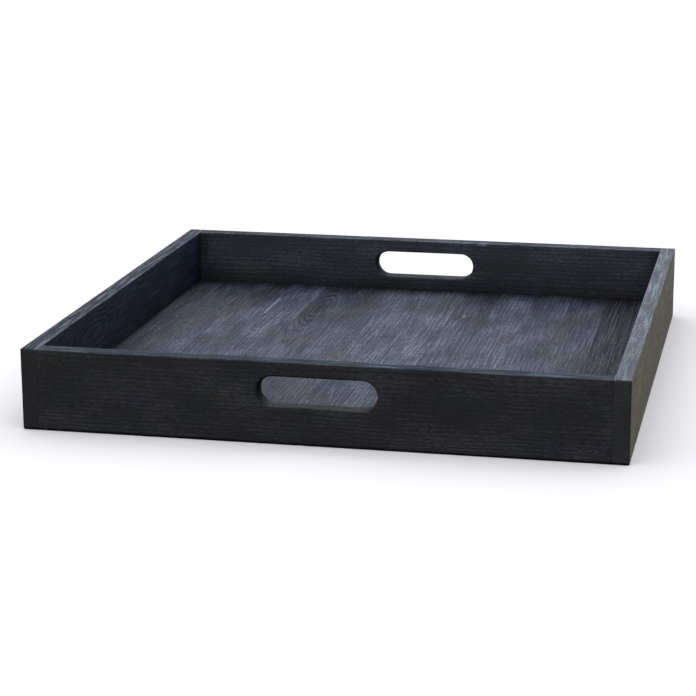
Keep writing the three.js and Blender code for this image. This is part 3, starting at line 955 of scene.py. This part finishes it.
def finished(piece, node):
    """Hands a piece over in place of its node, tied to the root body, with the node hidden."""
    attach(piece, "root")
    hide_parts(node)


def new_log(rng):
    """A log: its place in the noise that all the wood shares, and its heart's place, across and deep."""
    place = rng.uniform(-LOG_SPREAD, LOG_SPREAD, 3)
    across = rng.uniform(*PITH_ACROSS) * rng.choice((-1, 1)) * MM
    deep = rng.uniform(*PITH_DEEP) * MM
    return place, across, deep


def log_cut(node, log):
    """How a piece lies in its log, as inputs of the brushing tree.

    The grain's length is counted from the tray's middle, or from the middle of an oval.
    """
    low, high = box_corners(node)
    across_tray = "handle" in node
    middle = (low + high) / 2
    middle[0 if across_tray else 1] = 0.0
    turn = 0.0 if across_tray else -math.pi / 2
    roll = 0.0 if "stave" in node else -math.pi / 2
    place, across, deep = log
    dip = 0.0
    if node in OVALS:
        offset = Vector(np.array(OVALS[node]) * MM - middle)
        oval = Matrix.Rotation(roll, 3, "X") @ Matrix.Rotation(turn, 3, "Z") @ offset
        place = np.array([-oval.x, place[1], place[2]])
        across = oval.y
        deep = oval.z - HEART_DEPTH
        dip = HEART_DIP
    return {
        "Middle": middle,
        "Half Thickness": (high - low).min() / 2,
        "Along": (1, 0, 0) if across_tray else (0, 1, 0),
        "Grain Turn": turn,
        "Grain Roll": roll,
        "Log Place": place,
        "Pith": (across + place[1], deep + place[2], dip),
        "Figure": float(node in OVALS),
        "Ring Depth": RING_DEPTH,
    }


def make_boards(tree, rng):
    """The four boards, brushed, stained and oiled, each from a log of its own."""
    oiled = stained_wood(
        "black_stained_brushed_board", BOARD_STAIN, BOARD_FIBRE, BOARD_FLECK, BOARD_SHARES,
        roughness=(0.62, 0.44), gloss=0.05, sheen=0.0, bump_depth=0.25 * MM,
    )
    # The oil has gone from this one, and its raised fibres catch the light at a low angle
    dry = stained_wood(
        "black_stained_dry_board", BOARD_STAIN, BOARD_FIBRE, BOARD_FLECK, BOARD_SHARES,
        roughness=(0.62, 0.44), gloss=0.05, sheen=0.23, bump_depth=0.6 * MM,
    )
    for node, looks in BOARD_LOOKS.items():
        sizes = log_cut(node, new_log(rng))
        side = np.sign(np.round(sizes["Middle"], 3)) * (1, 1, 0)
        sizes.update(looks)
        sizes.update({
            "Outer Side": side, "Groove Depth": BOARD_GROOVE_DEPTH, "Dent Depth": DENT_DEPTH,
            "Brushed Axes": (1, 1, 1), "Finish": oiled, "Outer Finish": dry if node in DRY_BOARDS else oiled,
        })
        piece = handle_board(node) if "handle" in node else side_board(node)
        brush(piece, tree, sizes)
        finished(piece, node)


def make_staves(tree, rng):
    """The staves of the base, brushed on both faces. The staves of a lane come from one log."""
    oiled = stained_wood(
        "black_stained_brushed_base", BASE_STAIN, BASE_FIBRE, BASE_FLECK, BASE_SHARES,
        roughness=(0.7, 0.38), gloss=0.25, sheen=0.0, bump_depth=0.34 * MM,
    )
    # This one is duller, with longer and stronger fibres
    dry = stained_wood(
        "black_stained_dry_base", DRY_BASE_STAIN, DRY_FIBRE, BASE_FLECK, DRY_BASE_SHARES,
        roughness=(0.8, 0.42), gloss=0.14, sheen=0.0, bump_depth=0.34 * MM,
    )
    logs = [new_log(rng) for _ in LANE_TONES]
    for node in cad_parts:
        if not node.startswith("base_stave"):
            continue
        number = node.removeprefix("base_stave_")
        lane = int(number[:2])
        finish = dry if lane in DRY_LANES else oiled
        spread = 1 + rng.uniform(-1, 1) * STAVE_TONE_SPREAD
        stain = np.full(3, LANE_TONES[lane - 1] * STAVE_TONES.get(number, 1.0) * spread)
        sizes = log_cut(node, logs[lane - 1])
        sizes.update({
            "Outer Stain And Painted Light": stain, "Inner Stain And Painted Light": stain, "End Stain": stain, "Rim Stain And Painted Light": stain,
            "Outer Side": (0, 0, 0), "Dryness": 0.0, "Rim Weather": 0.0, "Inner Weather": 0.0, "Wear And Painted Highlight": 0.0,
            "Groove Depth": BASE_GROOVE_DEPTH, "Dent Depth": 0.0, "Brushed Axes": (0, 0, 1),
            "Finish": finish, "Outer Finish": finish,
        })
        piece = base_stave(node)
        brush(piece, tree, sizes)
        finished(piece, node)


def make_dowels():
    """The dowels keep their CAD shape and get the beech."""
    beech = bare_beech()
    for node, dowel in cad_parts.items():
        if node.startswith("dowel"):
            dowel.data.materials.clear()
            dowel.data.materials.append(beech)


def seen_rays(tree):
    """1 for camera, glossy and transmission rays, which see the background, and 0 for the rest."""
    path = add(tree, "ShaderNodeLightPath").outputs
    seen = path["Is Camera Ray"]
    for kind in ("Is Glossy Ray", "Is Transmission Ray"):
        seen = add(tree, "ShaderNodeMath", {0: seen, 1: path[kind]}, operation="MAXIMUM").outputs[0]
    return seen


def set_stage():
    """A wide pale floor, a cool soft sky and a soft light from above.

    The camera and reflections see floor and sky as nearly white.
    """
    mesh = bpy.data.meshes.new("floor")
    corners = [(x * FLOOR_REACH, y * FLOOR_REACH, 0) for x, y in ((-1, -1), (1, -1), (1, 1), (-1, 1))]
    mesh.from_pydata(corners, [], [(0, 1, 2, 3)])
    floor = put("floor", mesh)
    material, tree, shader = new_material("pale_floor")
    lit, shown = FLOOR_COLOURS
    paint = add(
        tree, "ShaderNodeMix", {0: seen_rays(tree), 6: linear(lit), 7: linear(shown)}, data_type="RGBA"
    )
    tree.links.new(paint.outputs[2], shader.inputs["Base Color"])
    shader.inputs["Roughness"].default_value = 1.0
    shader.inputs["Specular IOR Level"].default_value = 0.0
    mesh.materials.append(material)

    world = bpy.data.worlds.new("studio")
    bpy.context.scene.world = world
    world.use_nodes = True
    tree = world.node_tree
    tree.nodes.clear()
    seen = seen_rays(tree)
    lit, shown = SKY_COLOURS
    colour = add(tree, "ShaderNodeMix", {0: seen, 6: linear(lit), 7: linear(shown)}, data_type="RGBA")
    lit, shown = SKY_STRENGTHS
    strength = add(tree, "ShaderNodeMapRange", {"Value": seen, "To Min": lit, "To Max": shown})
    sky = add(tree, "ShaderNodeBackground", {"Color": colour.outputs[2], "Strength": strength.outputs[0]})
    add(tree, "ShaderNodeOutputWorld", {"Surface": sky.outputs[0]})

    lamp = bpy.data.lights.new("overhead", "SUN")
    lamp.energy = LAMP_STRENGTH
    lamp.angle = LAMP_SPREAD
    put("overhead", lamp)


def set_camera():
    """The photograph's camera, with colours shown as they are."""
    data = bpy.data.cameras.new("camera")
    data.sensor_width = CAMERA_SENSOR
    data.lens = CAMERA_LENS
    camera = put("camera", data)
    turn = Matrix.Rotation(CAMERA_YAW, 4, "Z")
    tilt = Matrix.Rotation(math.pi / 2 - CAMERA_PITCH, 4, "X")
    roll = Matrix.Rotation(CAMERA_ROLL, 4, "Z")
    camera.matrix_world = Matrix.Translation(CAMERA_PLACE) @ turn @ tilt @ roll
    bpy.context.scene.camera = camera
    bpy.context.scene.view_settings.view_transform = "Standard"


def main():
    rng = np.random.default_rng(SEED)
    tree = brushed_grain_tree()
    make_boards(tree, rng)
    make_staves(tree, rng)
    make_dowels()
    set_stage()
    set_camera()


main()
